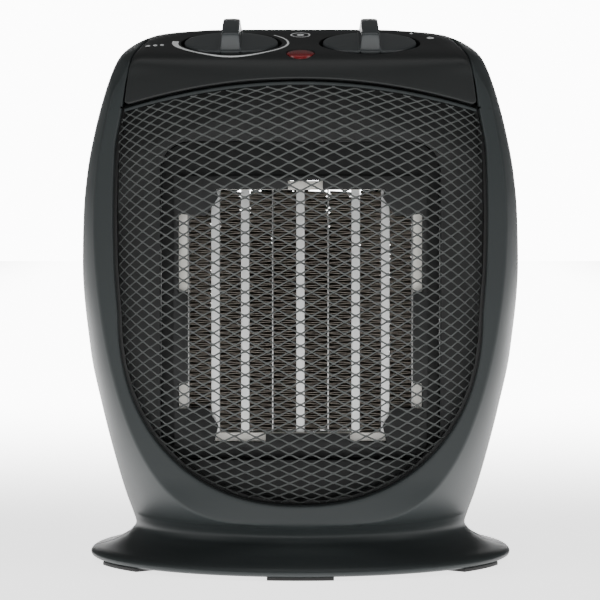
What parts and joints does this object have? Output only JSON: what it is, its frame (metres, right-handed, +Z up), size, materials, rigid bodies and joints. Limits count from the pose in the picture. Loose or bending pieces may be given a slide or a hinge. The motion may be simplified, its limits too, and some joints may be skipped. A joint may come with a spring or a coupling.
{
  "type": "ceramic space heater",
  "caption": "Portable ceramic space heater: waisted housing on a flared oval foot, domed expanded-metal grille, fan behind a finned PTC stack, two rotary knobs on a sloping top.",
  "frame": {"origin": "on the floor under the middle of the body, at the bottom of the feet", "axes": "+Z up, the grille faces -Y, +X to the right of someone looking at the grille"},
  "size_m": [0.181, 0.149, 0.2243],
  "materials": {
    "housing_plastic": "charcoal, fine satin texture",
    "base_plastic": "black, matt",
    "panel_plastic": "dark charcoal, satin sheen",
    "grille_metal": "dark grey powder coat",
    "inner_plastic": "black glass-filled plastic",
    "cream_resin": "cream heat-proof resin",
    "fin_metal": "heat-tinted corrugated strip",
    "rod_metal": "extruded tube, satin",
    "electrode_metal": "thin bright sheet",
    "bakelite": "black moulded resin",
    "plated_steel": "zinc plated",
    "core_steel": "stacked laminations",
    "winding": "enamelled winding, varnished",
    "bronze": "sintered bronze",
    "fan_plastic": "black, glass-filled",
    "knob_plastic": "charcoal, satin",
    "red_lens": "red translucent",
    "lamp_glass": "small neon lamp",
    "wire_jacket": "white insulation",
    "label": "plain silver label, no text",
    "rubber": "black rubber"
  },
  "bodies": {
    "housing": {"front_housing": "housing_plastic", "rear_housing": "housing_plastic", "base_plate": "base_plastic", "control_panel": "panel_plastic", "mesh_grille": "grille_metal", "grille_frame": "inner_plastic", "outlet_plate": "inner_plastic", "fan_shroud": "inner_plastic", "element_retainer": "inner_plastic", "element_frame": "cream_resin", "radiator_fins": "fin_metal", "ptc_bars": "rod_metal", "electrode_plates": "electrode_metal", "thermal_cutout": "bakelite", "thermal_fuse": "cream_resin", "motor_bracket": "plated_steel", "motor_stator": "core_steel", "motor_coil": "winding", "bearing_bracket_front": "plated_steel", "bearing_bracket_rear": "plated_steel", "bearing_front": "bronze", "bearing_rear": "bronze", "thermostat_base": "cream_resin", "thermostat_contacts": "bronze", "mode_switch_body": "bakelite", "mode_switch_terminals": "bronze", "switch_nuts": "plated_steel", "indicator_lens": "red_lens", "indicator_lamp": "lamp_glass", "tip_switch_housing": "inner_plastic", "tip_spring": "plated_steel", "tip_microswitch": "bakelite", "terminal_block": "cream_resin", "cord_bushing": "rubber", "wiring": "wire_jacket", "rating_plate": "label", "foot_front": "rubber", "foot_left": "rubber", "foot_right": "rubber", "foot_rear": "rubber", "housing_screws": "plated_steel", "grille_screws": "plated_steel", "duct_screws": "plated_steel", "motor_screws": "plated_steel", "base_screws": "plated_steel"},
    "thermostat_knob": {"thermostat_knob": "knob_plastic", "thermostat_shaft": "plated_steel"},
    "mode_knob": {"mode_knob": "knob_plastic", "mode_switch_shaft": "plated_steel"},
    "fan": {"fan_impeller": "fan_plastic", "fan_clip": "plated_steel", "motor_shaft": "plated_steel", "motor_rotor": "core_steel"},
    "plunger": {"tip_plunger": "cream_resin"},
    "lever": {"tip_lever": "plated_steel"}
  },
  "joints": [
    {"name": "thermostat_turn", "type": "hinge", "parent": "housing", "child": "thermostat_knob", "pos_m": [-0.028, -0.035, 0.214], "axis": [0, -0.2416, 0.9704], "range_deg": [-135, 135]},
    {"name": "mode_turn", "type": "hinge", "parent": "housing", "child": "mode_knob", "pos_m": [0.028, -0.035, 0.214], "axis": [0, -0.2416, 0.9704], "range_deg": [-90, 90]},
    {"name": "fan_spin", "type": "hinge", "parent": "housing", "child": "fan", "pos_m": [0, 0.02, 0.11], "axis": [0, 1, 0], "continuous": true},
    {"name": "plunger_slide", "type": "slide", "parent": "housing", "child": "plunger", "axis": [0, 0, 1], "range_m": [-0.004, 0], "stiffness_N_per_m": 100, "springref_m": -0.006, "deforming": ["tip_spring"]},
    {"name": "lever_turn", "type": "hinge", "parent": "housing", "child": "lever", "pos_m": [0.044, 0.012, 0.0241], "axis": [0, 1, 0], "range_deg": [-17, 0]}
  ],
  "couplings": [
    {"joint": "lever_turn", "follows": "plunger_slide", "rad_per_m": 70}
  ]
}
